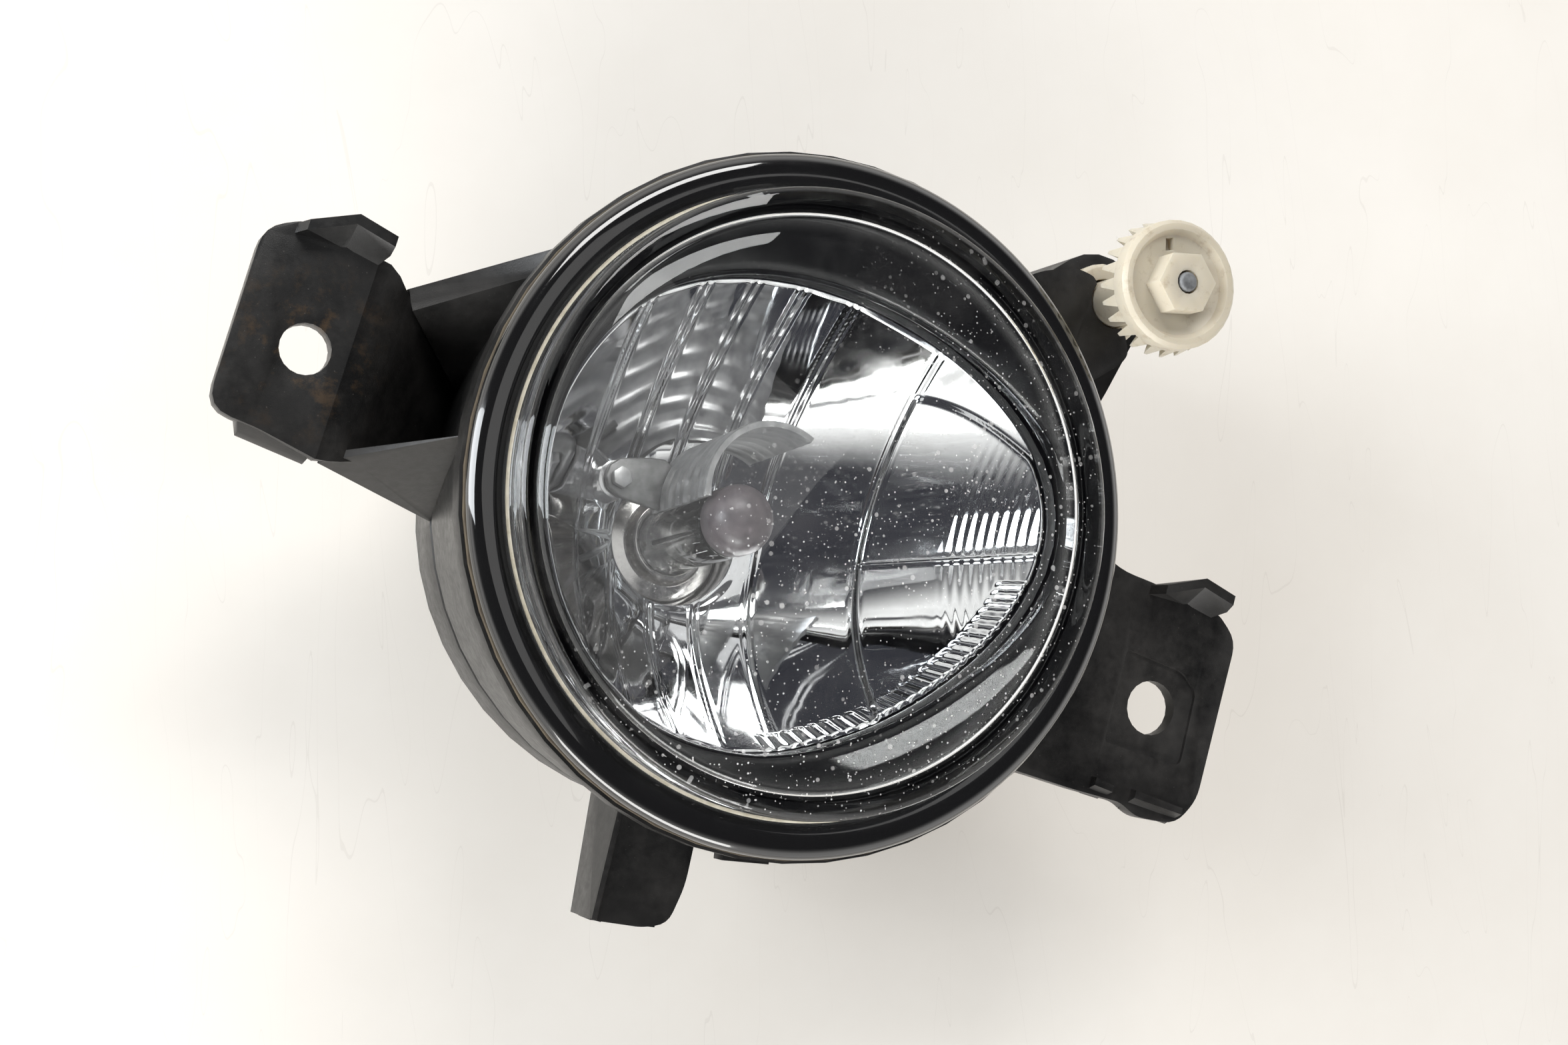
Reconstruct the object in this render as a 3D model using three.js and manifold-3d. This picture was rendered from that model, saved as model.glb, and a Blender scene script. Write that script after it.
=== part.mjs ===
// A round glass fog lamp: moulded housing with two screw ears, bonded lens, tilting reflector
// aimed by a toothed wheel, halogen bulb, twist-off rear cap, breather and two-pin inlet.
// Millimetres. +Z is the optical axis, +Y the lamp's upper side, origin at the centre of the
// rear cap's flat face. Heights written "below the lens" are measured from the lens flange.

import * as THREE from 'three';
import { mergeVertices } from 'three/addons/utils/BufferGeometryUtils.js';
import { ConvexGeometry } from 'three/addons/geometries/ConvexGeometry.js';
import Module from 'manifold-3d';

const wasm = await Module();
wasm.setup();

// ---- driving dimensions ----
const LENS_Z = 70;                 // lens flange's front face over the rear cap's face
const LENS_R = 50;                 // outer radius of the lens flange
const DOME_R = 44.3;               // radius of the clear dome
const GLASS = 3;                   // glass thickness
const RIM_R = 50.65;               // outer radius of the housing's front rim
const RIM_Z = LENS_Z - 3;          // seat that the lens is bonded to
const FIT = 0.3;                   // gap between pieces that touch
const ROUND = 48;                  // facets of a large ring
const SMALL = 20;                  // facets of a small ring

const EAR_ROLL = THREE.MathUtils.degToRad(-20);  // screw ears are turned against the optics
const EAR_Z = LENS_Z - 16;         // front face of both ears
const EAR_T = 3;                   // ear thickness
const LEFT_HOLE = { x: -71.7, y: -0.7, r: 3.6 };
const RIGHT_HOLE = { x: 70.6, y: -9.4, r: 4.3 };
const EAR_SHIFT = { x: 142.8, y: -6.3 };         // right ear's guide tab against the left one's

const ADJUST_ANGLE = THREE.MathUtils.degToRad(27.8);
const ADJUST_R = 66.7;             // spindle's distance from the optical axis
const WHEEL_Z = LENS_Z + 5;        // wheel's front rim
const TOOTH_COUNT = 24;
const TOWER_R = 8.8;               // outer radius of the housing's adjuster tower
const TOWER_WALL = 2.2;

const HOLE_R = 10.3;               // reflector's bulb hole
const HOLE_Z = LENS_Z - 36;        // reflector's vertex
const BULB = { x: -9.8, y: -3.3 }; // middle of the bulb hole
const BULB_LEAN = THREE.MathUtils.degToRad(6.5);     // the bulb's lean from the optical axis
const BULB_TOWARDS = THREE.MathUtils.degToRad(40);   // side that it leans to
const RIM = { x: 2.4, y: -1, a: 41.6, b: 34.4, z: LENS_Z - 12 };  // reflector's egg-shaped edge
const RIM_NARROWING = 0.19;        // how much narrower the egg is at its +X end
const RIM_TURN = THREE.MathUtils.degToRad(-2);       // turn of the egg about its middle
const PIVOT_Z = LENS_Z - 20;       // height of the reflector's tilt axis, which is along X
const ARM_Z = LENS_Z - 30.5;       // middle of the reflector's aiming arm

const BACK_Z = LENS_Z - 52.5;      // flat back of the housing
const COLLAR_R = 29;               // collar that carries the rear cap
const COLLAR_Z = 6;                // collar's end over the rear cap's face
const PORT_R = 37.5;               // breather and inlet's distance from the optical axis
const VENT_ANGLE = THREE.MathUtils.degToRad(115);
const INLET_ANGLE = -Math.PI / 2;
const LUG_COUNT = 3;
const CAP_TURN = THREE.MathUtils.degToRad(30);    // turn that frees the rear cap

// ---- solids ----

/** A closed geometry as a solid with its faces pointing out. */
function solid(geometry) {
  const bare = geometry.index ? geometry.toNonIndexed() : geometry.clone();
  bare.deleteAttribute('normal');
  bare.deleteAttribute('uv');
  const merged = mergeVertices(bare, 1e-4);
  const place = merged.attributes.position.array;
  const corners = [];
  let volume = 0;
  for (let i = 0; i < merged.index.count; i += 3) {
    const [a, b, c] = merged.index.array.slice(i, i + 3);
    if (a === b || b === c || c === a) continue;
    corners.push(a, b, c);
    const [p, q, r] = [a, b, c].map((k) => new THREE.Vector3().fromArray(place, 3 * k));
    volume += p.dot(q.cross(r));
  }
  if (volume < 0) corners.reverse();
  return new wasm.Manifold(new wasm.Mesh({
    numProp: 3,
    vertProperties: place,
    triVerts: new Uint32Array(corners),
  }));
}

/** A solid turned about Z from a closed [radius, height] profile. */
function turned(profile, facets = SMALL) {
  const points = profile.map(([r, z]) => new THREE.Vector2(r, z));
  const closed = profile[0][0] === 0 ? points : [...points, points[0]];
  return solid(new THREE.LatheGeometry(closed, facets).rotateX(Math.PI / 2));
}

/** An upright cylinder from z0 to z1. */
function drum(x, y, r, z0, z1, facets = SMALL) {
  const shape = new THREE.CylinderGeometry(r, r, z1 - z0, facets).rotateX(Math.PI / 2);
  return solid(shape.translate(x, y, (z0 + z1) / 2));
}

/** A box between two corners. */
function block(x0, y0, z0, x1, y1, z1) {
  const box = new THREE.BoxGeometry(x1 - x0, y1 - y0, z1 - z0);
  return solid(box.translate((x0 + x1) / 2, (y0 + y1) / 2, (z0 + z1) / 2));
}

/** The convex solid round a few corners. */
function hull(corners) {
  return solid(new ConvexGeometry(corners.map((p) => new THREE.Vector3(...p))));
}

/** An upright slab of an outline of [x, y, corner radius] points; tight corners round less. */
function slab(corners, z0, z1) {
  const shape = new THREE.Shape();
  corners.forEach(([x, y, r = 0], i) => {
    const at = new THREE.Vector2(x, y);
    const back = new THREE.Vector2(...corners.at(i - 1)).sub(at);
    const ahead = new THREE.Vector2(...corners[(i + 1) % corners.length]).sub(at);
    const bend = Math.min(r, 0.48 * back.length(), 0.48 * ahead.length());
    const start = at.clone().add(back.setLength(bend));
    const end = at.clone().add(ahead.setLength(bend));
    if (i === 0) shape.moveTo(start.x, start.y);
    else shape.lineTo(start.x, start.y);
    if (bend > 0) shape.quadraticCurveTo(x, y, end.x, end.y);
  });
  const options = { depth: z1 - z0, bevelEnabled: false, curveSegments: 4 };
  return solid(new THREE.ExtrudeGeometry(shape, options).translate(0, 0, z0));
}

/** A slab that is a sector of a ring. */
function sector(r0, r1, middle, width, z0, z1, segments = 3) {
  const [from, to] = [middle - width / 2, middle + width / 2];
  const shape = new THREE.Shape();
  shape.absarc(0, 0, r1, from, to, false);
  shape.absarc(0, 0, r0, to, from, true);
  const options = { depth: z1 - z0, bevelEnabled: false, curveSegments: segments };
  return solid(new THREE.ExtrudeGeometry(shape, options).translate(0, 0, z0));
}

/** A round wire of the given radius along a list of points. */
function wire(points, radius, steps, sides = 8) {
  const path = new THREE.CatmullRomCurve3(points.map((p) => new THREE.Vector3(...p)));
  const section = new THREE.Shape();
  section.absarc(0, 0, radius, 0, 2 * Math.PI, false);
  const options = { steps, curveSegments: sides / 2, extrudePath: path, bevelEnabled: false };
  return solid(new THREE.ExtrudeGeometry(section, options));
}

/** A skin through equal rings of points; the last ring joins the first, or both ends are capped. */
function loft(rings, capped = false) {
  const count = rings[0].length;
  const corners = [];
  const face = (...points) => points.forEach((p) => corners.push(...p));
  const pairs = capped ? rings.length - 1 : rings.length;
  for (let k = 0; k < pairs; k += 1) {
    const [low, high] = [rings[k], rings[(k + 1) % rings.length]];
    for (let i = 0; i < count; i += 1) {
      const j = (i + 1) % count;
      face(low[i], low[j], high[j]);
      face(low[i], high[j], high[i]);
    }
  }
  if (capped) {
    for (let i = 1; i < count - 1; i += 1) {
      face(rings[0][0], rings[0][i + 1], rings[0][i]);
      face(rings.at(-1)[0], rings.at(-1)[i], rings.at(-1)[i + 1]);
    }
  }
  const skin = new THREE.BufferGeometry();
  skin.setAttribute('position', new THREE.Float32BufferAttribute(corners, 3));
  return solid(skin);
}

/** Points of an ellipse at height z, which can be narrower at its +X end and turned. */
function oval(x, y, a, b, z, narrowing = 0, turn = 0, count = 40) {
  return Array.from({ length: count }, (_, i) => {
    const step = (2 * Math.PI * i) / count;
    const along = a * Math.cos(step);
    const across = b * Math.sin(step) * (1 - narrowing * Math.cos(step));
    return [
      x + along * Math.cos(turn) - across * Math.sin(turn),
      y + along * Math.sin(turn) + across * Math.cos(turn),
      z,
    ];
  });
}

const join = (shapes) => shapes.reduce((sum, shape) => sum.add(shape));
const degrees = THREE.MathUtils.radToDeg;
const turnedAboutZ = (shape, angle) => shape.rotate([0, 0, degrees(angle)]);

/** Place of the bulb: its own Z axis leans, and its origin is the middle of the bulb hole. */
const bulbPlace = new THREE.Matrix4().makeRotationAxis(
  new THREE.Vector3(-Math.sin(BULB_TOWARDS), Math.cos(BULB_TOWARDS), 0),
  BULB_LEAN,
).setPosition(BULB.x, BULB.y, HOLE_Z);
const leant = (shape) => shape.transform(bulbPlace.elements);

// ---- materials ----
const finish = (color, roughness, metalness = 0, more = {}) => (
  new THREE.MeshStandardMaterial({ color, roughness, metalness, ...more })
);
const MATERIALS = {
  black_plastic: finish(0x1b1b1d, 0.55),
  gloss_black: finish(0x0c0c0e, 0.25),
  clear_glass: finish(0xe8eef2, 0.05, 0, { transparent: true, opacity: 0.3 }),
  sealant: finish(0x4a3a2a, 0.7),
  reflector_metal: finish(0xd8d8da, 0.1, 1),
  shield_metal: finish(0x9a9a9c, 0.4, 1),
  steel: finish(0x8c8e92, 0.4, 1),
  ivory_plastic: finish(0xe9e3d2, 0.5),
  rubber: finish(0x161616, 0.85),
  blackout: finish(0x2a2528, 0.45),
  base_plastic: finish(0x3c3c3e, 0.6),
  contact_metal: finish(0xb9a676, 0.35, 1),
  membrane: finish(0xdedcd4, 0.8),
};

const lamp = new THREE.Group();

/** Adds a solid to the lamp, or to a group of it, as a named mesh. */
function piece(name, shape, material, into = lamp) {
  const { vertProperties, triVerts } = shape.getMesh();
  const geometry = new THREE.BufferGeometry();
  geometry.setAttribute('position', new THREE.Float32BufferAttribute(vertProperties, 3));
  geometry.setIndex(new THREE.Uint32BufferAttribute(triVerts, 1));
  geometry.computeVertexNormals();
  const mesh = new THREE.Mesh(geometry, MATERIALS[material]);
  mesh.name = name;
  into.add(mesh);
}

// ---- housing ----

/** Space inside the housing's wall, from its floor to the open front. */
function housingInside() {
  return turned([
    [0, BACK_Z + 2.5],
    [42.3, BACK_Z + 2.5],
    [43.3, BACK_Z + 4],
    [46.2, LENS_Z - 8],
    [46.2, LENS_Z + 1],
    [0, LENS_Z + 1],
  ], ROUND);
}

/** Outside of the housing's wall, floor and collar, without its hollow. */
function housingOutside() {
  const groove = LENS_Z - 34.5;
  return turned([
    [0, COLLAR_Z],
    [COLLAR_R, COLLAR_Z],
    [COLLAR_R, BACK_Z],
    [42.5, BACK_Z],
    [44.6, BACK_Z + 1],
    [45.8, BACK_Z + 3.5],
    [46.8, groove - 1],
    [46.3, groove - 0.6],
    [46.3, groove + 0.6],
    [47, groove + 1],
    [49.5, LENS_Z - 7.4],
    [RIM_R, LENS_Z - 6.4],
    [RIM_R, RIM_Z],
    [0, RIM_Z],
  ], ROUND);
}

/** A thin sheet between four corners, with its thickness towards -Y. */
function sheet(corners, thickness) {
  return hull([...corners, ...corners.map(([x, y, z]) => [x, y - thickness, z])]);
}

/** The folded guide tab that stands up along an ear's upper edge. */
function guideTab({ x, y }) {
  const [low, high] = [EAR_Z - 1.5, EAR_Z + 4.2];
  const alongEdge = sheet([
    [x - 78.4, y + 15.3, low], [x - 68.8, y + 15.9, low],
    [x - 76.8, y + 15.8, high - 1], [x - 70.8, y + 18.7, high],
  ], 1.5);
  const across = sheet([
    [x - 72, y + 15.6, low], [x - 66.2, y + 14.8, low],
    [x - 70.8, y + 18.7, high], [x - 65, y + 17.6, high],
    [x - 65.1, y + 16.4, high - 1.2],
  ], 1.5);
  return alongEdge.add(across);
}

/** The sloped lip under an ear's lower edge. */
function earLip(x0, x1, y) {
  return hull([
    [x0, y + 1.5, EAR_Z - 0.5], [x1, y + 0.6, EAR_Z - 0.5],
    [x0, y + 1.5, EAR_Z - 5], [x1, y + 0.6, EAR_Z - 5],
    [x0 + 1, y - 0.8, EAR_Z - 5], [x1 - 0.6, y - 1.6, EAR_Z - 5],
    [x0 + 1, y - 0.4, EAR_Z - 3], [x1 - 0.6, y - 1.2, EAR_Z - 3],
  ]);
}

/** The left ear's wide bend and the web that slopes down from it to the housing. */
function earSlope() {
  const [radius, start, run] = [8.5, -66, 24];
  const turns = [0, 13, 26, 39, 50].map(THREE.MathUtils.degToRad);
  const sides = [[-14.6, 14.8], [-14.3, 14.6], [-13.7, 13.6], [-13, 12.2], [-12.6, 11.7]];
  const section = (turn, [low, high], along = 0) => {
    const [dx, dz] = [Math.sin(turn), Math.cos(turn)];
    const outer = [start + radius * dx + along * dz, EAR_Z - radius * (1 - dz) - along * dx];
    const inner = [outer[0] - EAR_T * dx, outer[1] - EAR_T * dz];
    return [low, high].flatMap((y) => [outer, inner].map(([x, z]) => [x, y, z]));
  };
  const sections = turns.map((turn, i) => section(turn, sides[i]));
  sections.push(section(turns.at(-1), sides.at(-1), run));
  return join(sections.slice(1).map((next, i) => hull([...sections[i], ...next])));
}

/** Left ear: a plate that slopes down to the housing, with a cheek on each side. */
function leftEar() {
  const plate = slab([
    [-81.7, -12.6, 4], [-74.5, -13.1, 1], [-65.8, -14.6, 0], [-65.8, 14.8, 0],
    [-77, 16.2, 1.5], [-82, 13.4, 3.5],
  ], EAR_Z - EAR_T, EAR_Z);
  const upperCheek = hull([
    [-60.6, 12.6, EAR_Z - 2.4], [-58.8, 10.2, EAR_Z - 3.4], [-43.2, 24, LENS_Z - 7],
    [-42, 21.4, LENS_Z - 7.5], [-47, 4, LENS_Z - 33], [-44, 6, LENS_Z - 36],
    [-61, 12.2, EAR_Z - 5], [-41, 22.6, LENS_Z - 20], [-44, 12.4, LENS_Z - 37],
  ]);
  const lowerCheek = hull([
    [-60, -13, EAR_Z - 2.2], [-48, -5.6, LENS_Z - 7], [-44, -4.2, LENS_Z - 7.5],
    [-65, -14.6, EAR_Z - EAR_T], [-65, -13.2, EAR_Z - EAR_T], [-44, -15.2, LENS_Z - 36],
    [-44, -13, LENS_Z - 36], [-57, -10.6, EAR_Z - 2.4],
  ]);
  return join([
    plate, earSlope(), upperCheek, lowerCheek,
    guideTab({ x: 0, y: 0 }),
    earLip(-77.5, -66, -13.6),
  ]);
}

/** Raised lip along the right ear's lower edge, with a notch in it. */
function raisedLip() {
  const strip = (x0, x1, low) => hull([
    [x0, -22.6, EAR_Z - 1], [x1, -23, EAR_Z - 1], [x0, -22.8, EAR_Z + 1.6], [x1, -23.2, EAR_Z + 1.6],
    [x0, -24, EAR_Z + 1.6], [x1, -24.2, EAR_Z + 1.6], [x0, low, EAR_Z - 2.5],
    [x1, low, EAR_Z - 2.5],
  ]);
  return strip(63, 66.4, -25.5).add(strip(70.4, 79.4, -26));
}

/** Right ear: a longer plate that runs straight into the housing's wall, with ribs beneath. */
function rightEar() {
  const plate = slab([
    [36, -25.5, 0], [60.4, -25.5, 1], [69, -25.2, 1], [72.5, -26.6, 1.5], [79.8, -25.8, 2.5],
    [82.5, -21, 2], [82.5, 5.4, 3.5], [78.4, 8.4, 1], [66.5, 9.6, 3], [58.6, 9.8, 3],
    [50, 14, 0], [36, 14, 0],
  ], EAR_Z - EAR_T, EAR_Z);
  const rib = (y) => hull([
    [40, y, EAR_Z - 1], [72, y, EAR_Z - 1], [40, y + 2, EAR_Z - 1], [72, y + 2, EAR_Z - 1],
    [72, y, EAR_Z - EAR_T - 2], [72, y + 2, EAR_Z - EAR_T - 2],
    [40, y, EAR_Z - 20], [40, y + 2, EAR_Z - 20],
  ]);
  return join([plate, rib(-24.6), rib(5), guideTab(EAR_SHIFT), raisedLip()]);
}

/** Shallow square panel that is sunk into the right ear round its hole. */
function earPanel() {
  const { x, y } = RIGHT_HOLE;
  return slab([
    [x - 7, y - 7.5, 1], [x + 7.4, y - 7.5, 1.5], [x + 7, y + 4.6, 1.2], [x + 4, y + 7, 1.2],
    [x - 7, y + 7.6, 1],
  ], EAR_Z - 0.6, EAR_Z + 1);
}

/** Channel-shaped leg at the lamp's lower side, open towards the right and the back. */
function leg() {
  const front = LENS_Z - 20;
  const web = slab([
    [-9.4, -40, 0], [-8.2, -64.3, 0.8], [-0.4, -63.4, 1], [3.4, -62, 2], [4.4, -56, 2],
    [4, -50, 1], [4, -40, 0],
  ], front - 2, front);
  const wall = hull([
    [-9.4, -40, front], [-8.2, -64.2, front], [-7.7, -40, front], [-6.5, -64.2, front],
    [-10.4, -40, front - 12], [-7.4, -64.2, front - 12], [-8.8, -40, front - 12],
    [-5.8, -64.2, front - 12],
  ]);
  const lip = hull([
    [-8.2, -62.8, front], [1.6, -61.4, front], [-8.2, -64.3, front], [1.6, -62.9, front],
    [-7.4, -62.8, front - 8], [1, -61.4, front - 8], [-7.4, -64.3, front - 8],
    [1, -62.9, front - 8],
  ]);
  const rim = hull([
    [-9.2, -44, front + 0.7], [-8.5, -44, front + 0.7], [-8.2, -64.1, front + 0.7],
    [-7.5, -64.1, front + 0.7], [-9.3, -44, front - 1], [-7.6, -44, front - 1],
    [-8.2, -64.1, front - 1], [-6.6, -64.1, front - 1],
  ]);
  return join([web, wall, lip, rim]);
}

/** Small catch under the rim beside the leg. */
function catchTab() {
  const angle = THREE.MathUtils.degToRad(-79.8);
  const tab = block(46, -3.6, LENS_Z - 15, 51.3, 3.6, LENS_Z - 11.5);
  return turnedAboutZ(tab, angle);
}

/** Outline of the adjuster tower, straight from the housing and round at the spindle. */
function towerOutline(radius, z0, z1) {
  const end = drum(ADJUST_R, 0, radius, z0, z1);
  return end.add(block(40, -radius, z0, ADJUST_R, radius, z1));
}

/** Tower, saddle and gusset that hold the adjuster; the spindle stands on the local X axis. */
function adjusterTower() {
  const top = LENS_Z - 20;
  const tower = towerOutline(TOWER_R, LENS_Z - 48, top);
  const saddle = slab([
    [45, -8.4, 0], [62.6, -8.9, 1.5], [64.6, -8.2, 0.8], [65.9, -5, 1.5], [65.4, -2, 0],
    [65, 3, 0], [65.8, 5, 1], [63.6, 7.8, 1.5], [57.4, 10.4, 2], [45, 11.4, 0],
  ], LENS_Z - 16.4, LENS_Z - 14);
  const posts = join([
    block(45, -8.4, top - 1, 58.5, -6.6, LENS_Z - 15),
    block(45, 7.6, top - 1, 58.5, 9.4, LENS_Z - 15),
  ]);
  const gusset = slab([[44, -21, 0], [61.5, -12.5, 0.5], [70, -8, 0], [66, 0, 0], [44, 0, 0]],
    top - 2.5, top);
  return join([tower, saddle, posts, gusset]);
}

/** What is taken out of the tower: its hollow, the hub's two bores and the spindle's journal. */
function towerHollow() {
  const hollow = towerOutline(TOWER_R - TOWER_WALL, LENS_Z - 43.6, LENS_Z - 22.5);
  const bore = drum(ADJUST_R, 0, 2.6, LENS_Z - 23, LENS_Z - 19);
  const journal = drum(ADJUST_R, 0, 1.8, LENS_Z - 46.8, LENS_Z - 43);
  const saddleCut = drum(ADJUST_R, 0, 4.15, LENS_Z - 17, LENS_Z - 13);
  return join([hollow, bore, journal, saddleCut]);
}

/** Hole in the housing's back for the inlet, in the inlet's own turned place. */
function inletBlock(margin, z0, z1) {
  const box = block(PORT_R - 4.2 - margin, -9 - margin, z0, PORT_R + 4.2 + margin, 9 + margin, z1);
  return turnedAboutZ(box, INLET_ANGLE);
}

function housing() {
  const ears = join([leftEar(), rightEar(), leg(), catchTab()]);
  const holes = [LEFT_HOLE, RIGHT_HOLE].map(({ x, y, r }) => (
    drum(x, y, r, EAR_Z - EAR_T - 8, EAR_Z + 4)
  ));
  const drilled = ears.subtract(join([...holes, earPanel()]));
  const bayonet = Array.from({ length: LUG_COUNT }, (_, i) => (
    sector(COLLAR_R - 1, COLLAR_R + 1.5, (2 * Math.PI * i) / LUG_COUNT, 0.24,
      COLLAR_Z + 3, COLLAR_Z + 4.8)
  ));
  const vent = turnedAboutZ(drum(PORT_R, 0, 3, BACK_Z - 5, BACK_Z + 1), VENT_ANGLE);
  const body = join([
    housingOutside(),
    turnedAboutZ(drilled, EAR_ROLL),
    turnedAboutZ(adjusterTower(), ADJUST_ANGLE),
    ...bayonet, vent,
  ]);
  const collarBore = drum(0, 0, COLLAR_R - 2.5, COLLAR_Z - 1, BACK_Z + 3, ROUND);
  const ventBore = turnedAboutZ(drum(PORT_R, 0, 1.6, BACK_Z - 6, BACK_Z + 4), VENT_ANGLE);
  const pinBores = [-1, 1].map((side) => (
    solid(new THREE.CylinderGeometry(2.3, 2.3, 10, SMALL).rotateZ(Math.PI / 2)
      .translate(side * 42.2, 0, PIVOT_Z))
  ));
  return body.subtract(join([
    housingInside(), collarBore, ventBore,
    turnedAboutZ(towerHollow(), ADJUST_ANGLE),
    inletBlock(FIT, BACK_Z - 1, BACK_Z + 4),
    ...pinBores,
  ]));
}

// ---- front ----

function lens() {
  const z = LENS_Z;
  return turned([
    [0, z + 4.5], [22, z + 4], [38.6, z + 2.6], [DOME_R - GLASS, z + 0.4],
    [DOME_R - GLASS, z - 2], [LENS_R - 0.8, z - 2], [LENS_R, z - 1.4], [LENS_R, z - 0.6],
    [LENS_R - 0.7, z], [DOME_R, z], [DOME_R, z + 3], [DOME_R - 0.7, z + 4.7],
    [DOME_R - 2.5, z + 5.6], [22, z + 7], [0, z + 7.5],
  ], ROUND);
}

/** Bead of adhesive between the lens flange and the housing's rim. */
function lensSeal() {
  const [low, high] = [RIM_Z + 0.1, LENS_Z - 2.1];
  return turned([[46.4, low], [50.2, low], [50.2, high], [46.4, high]], ROUND);
}

/** Black trim that fills the space between the lens and the reflector's egg-shaped edge. */
function innerBezel() {
  const { x, y, a, b } = RIM;
  const outer = (z) => oval(0, 0, 45.4, 45.4, z);
  const inner = (z) => oval(x + 0.2, y, a, b - 0.4, z, RIM_NARROWING, RIM_TURN);
  return loft([outer(LENS_Z - 2.5), inner(LENS_Z - 7.5), inner(LENS_Z - 9), outer(LENS_Z - 4.5)]);
}

// ---- reflector ----

/** Rings of the reflector's bowl, from the bulb hole to the oval edge, moved out by a thickness. */
function bowlRings(thickness) {
  const { lerp } = THREE.MathUtils;
  const steps = [0, 0.12, 0.28, 0.45, 0.64, 0.83, 1];
  return steps.map((t) => oval(
    lerp(BULB.x, RIM.x, t),
    lerp(BULB.y, RIM.y, t),
    lerp(HOLE_R, RIM.a, t) + thickness,
    lerp(HOLE_R, RIM.b, t) + thickness,
    HOLE_Z + (RIM.z - HOLE_Z) * t ** 1.6 - thickness * (1 - t),
    RIM_NARROWING * t,
    RIM_TURN,
  ));
}

/** Fork-ended arm that reaches into the tower; it lies on the spindle's radius. */
function aimingArm() {
  const [low, high] = [ARM_Z - 1.25, ARM_Z + 1.25];
  const plate = block(14, -5, low, ADJUST_R + 3.6, 5, high);
  const rib = block(18, -1, high - 0.5, ADJUST_R - 8, 1, high + 3);
  const slot = drum(ADJUST_R, 0, 3.75, low - 1, high + 1)
    .add(block(ADJUST_R, -3.75, low - 1, ADJUST_R + 6, 3.75, high + 1));
  return turnedAboutZ(plate.add(rib).subtract(slot), ADJUST_ANGLE);
}

/** Boss on the reflector's side that turns on a pivot pin. */
function pivotBoss(side) {
  const boss = new THREE.CylinderGeometry(4, 4, 8, SMALL).rotateZ(Math.PI / 2);
  return solid(boss.translate(side * 39.4, 0, PIVOT_Z));
}

function pivotBore(side) {
  const bore = new THREE.CylinderGeometry(2.1, 2.1, 6, SMALL).rotateZ(Math.PI / 2);
  return solid(bore.translate(side * 42.4, 0, PIVOT_Z));
}

const SHIELD = { x: 5.5, y: 3.1, r: 10.2, from: 50, to: 178, back: 5, front: 26 };
const FOOT = { x: -11.6, y: 8.8, z: 7.5 };   // middle of the shield's riveted foot, from the bulb

function rivetHole(radius) {
  return drum(FOOT.x, FOOT.y, radius, FOOT.z - 5, FOOT.z + 3, 12);
}

function reflector() {
  const bowl = loft([...bowlRings(0), ...bowlRings(1.3).reverse()]);
  const inside = loft(bowlRings(0), true);
  const neck = leant(drum(0, 0, HOLE_R + 2, -5, 0.5, 32));
  const pad = leant(drum(FOOT.x, FOOT.y, 3, -0.4, FOOT.z - 0.8, 16));
  const outside = join([neck, aimingArm(), pivotBoss(-1), pivotBoss(1)]).subtract(inside);
  const bore = leant(drum(0, 0, HOLE_R, -6, 3, 40));
  return join([bowl, outside, pad])
    .subtract(join([bore, pivotBore(-1), pivotBore(1), leant(rivetHole(1.3))]));
}

/** Curved glare shield over the bulb, with a riveted foot, in the bulb's own frame. */
function bulbShield() {
  const { x, y, r, from, to, back, front } = SHIELD;
  const middle = THREE.MathUtils.degToRad((from + to) / 2);
  const width = THREE.MathUtils.degToRad(to - from);
  const hood = sector(r, r + 0.9, middle, width, back, front, 7).translate([x, y, 0]);
  const foot = slab([
    [-5, 3.6, 0], [-4.5, 6.8, 0], [-2.4, 10.4, 0], [-3.6, 11.6, 0.5], [-9, 12, 1],
    [-13.4, 11.2, 2], [-13.8, 7.2, 2], [-10, 5.2, 1],
  ], FOOT.z - 0.5, FOOT.z + 0.5);
  return hood.add(foot).subtract(rivetHole(1.3));
}

/** Rivet with a six-sided head that holds the shield's foot. */
function shieldRivet() {
  const shank = drum(FOOT.x, FOOT.y, 1, FOOT.z - 4, FOOT.z + 0.8, 12);
  return shank.add(drum(FOOT.x, FOOT.y, 1.7, FOOT.z + 0.8, FOOT.z + 2, 6));
}

/** Pin that the reflector tilts on, held in the housing's wall. */
function pivotPin(side) {
  const pin = new THREE.CylinderGeometry(1.9, 1.9, 6.6, 16).rotateZ(Math.PI / 2);
  return solid(pin.translate(side * 43.4, 0, PIVOT_Z));
}

// ---- adjuster, round its own spindle axis ----

function wheelTooth(index) {
  const turn = (2 * Math.PI * index) / TOOTH_COUNT;
  const half = Math.PI / TOOTH_COUNT;
  const at = (r, lean, z) => [r * Math.cos(turn + lean), r * Math.sin(turn + lean), WHEEL_Z + z];
  return hull([
    at(8.2, -half * 0.8, -2.8), at(8.2, half * 0.8, -2.8), at(9.7, -half * 0.8, -2.8),
    at(9.7, half * 0.8, -2.8), at(8.2, -half * 0.2, -5.6), at(10.3, -half * 0.3, -5.9),
    at(10.3, half * 0.1, -5.9),
  ]);
}

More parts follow.
